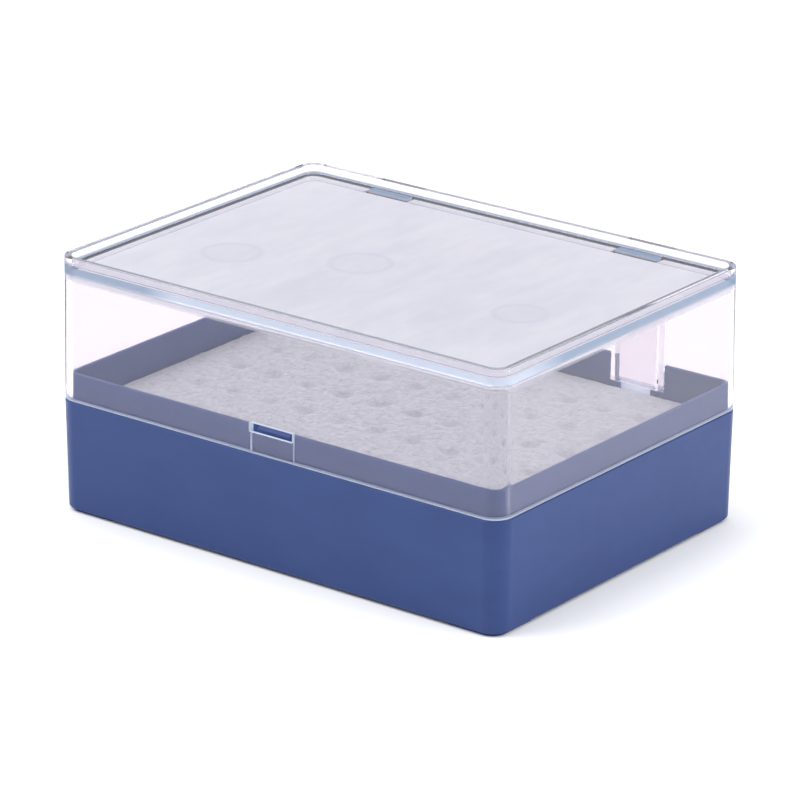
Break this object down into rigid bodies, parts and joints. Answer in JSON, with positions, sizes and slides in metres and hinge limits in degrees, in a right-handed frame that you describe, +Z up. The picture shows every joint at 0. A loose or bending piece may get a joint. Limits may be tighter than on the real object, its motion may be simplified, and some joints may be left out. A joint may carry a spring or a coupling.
{
  "type": "hinged vial storage box",
  "caption": "Hinged storage box for small screw-cap vials: blue tub, clear lid with a stacking rim, holed rack plate and white cover sheet.",
  "frame": {"origin": "under the middle of the closed box, at the underside of its corner feet", "axes": "+X along the long side, -Y towards the catch, +Y towards the hinge, +Z up"},
  "size_m": [0.1636, 0.121, 0.08],
  "materials": {
    "blue_plastic": "satin moulded polypropylene",
    "clear_plastic": "clear polished moulding",
    "rack_plastic": "satin moulded polypropylene",
    "fibre_sheet": "soft white non-woven fibre"
  },
  "bodies": {
    "tub": {"tub": "blue_plastic"},
    "lid": {"lid": "clear_plastic"},
    "rack": {"rack_plate": "rack_plastic"},
    "sheet": {"cover_sheet": "fibre_sheet"}
  },
  "joints": [
    {"name": "lid_hinge", "type": "hinge", "parent": "tub", "child": "lid", "pos_m": [0, 0.0588, 0.0335], "axis": [-1, 0, 0], "range_deg": [0, 100]},
    {"name": "rack_lift", "type": "slide", "parent": "tub", "child": "rack", "axis": [0, 0, 1], "range_m": [0, 0.0006]},
    {"name": "sheet_lift", "type": "slide", "parent": "rack", "child": "sheet", "axis": [0, 0, 1], "range_m": [0, 0.0006]}
  ]
}
